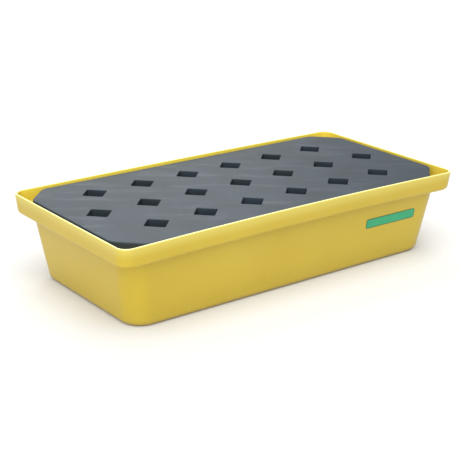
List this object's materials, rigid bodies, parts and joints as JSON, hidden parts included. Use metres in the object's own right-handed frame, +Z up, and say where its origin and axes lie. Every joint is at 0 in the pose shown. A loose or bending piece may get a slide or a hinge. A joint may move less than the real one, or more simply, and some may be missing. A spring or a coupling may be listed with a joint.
{
  "type": "spill containment pallet",
  "caption": "Low rectangular spill containment tray with a stepped rim band and a lift-out drain deck pierced with diamond-set square holes.",
  "frame": {"origin": "centre of the tray's underside, on the floor it stands on", "axes": "+X along the tray's length, +Y across its width, +Z up out of the drain deck"},
  "size_m": [0.7918, 0.392, 0.1697],
  "materials": {
    "tray_yellow": "moulded polyethylene, satin, faint mould texture",
    "deck_grey": "moulded polyethylene, matte, faint flow streaks",
    "label_green": "printed film, satin"
  },
  "bodies": {
    "tray": {"sump_tray": "tray_yellow", "front_label": "label_green"},
    "deck": {"drain_deck": "deck_grey"}
  },
  "joints": [
    {"name": "deck_lift", "type": "slide", "parent": "tray", "child": "deck", "axis": [0, 0, 1], "range_m": [0, 0.2]}
  ]
}
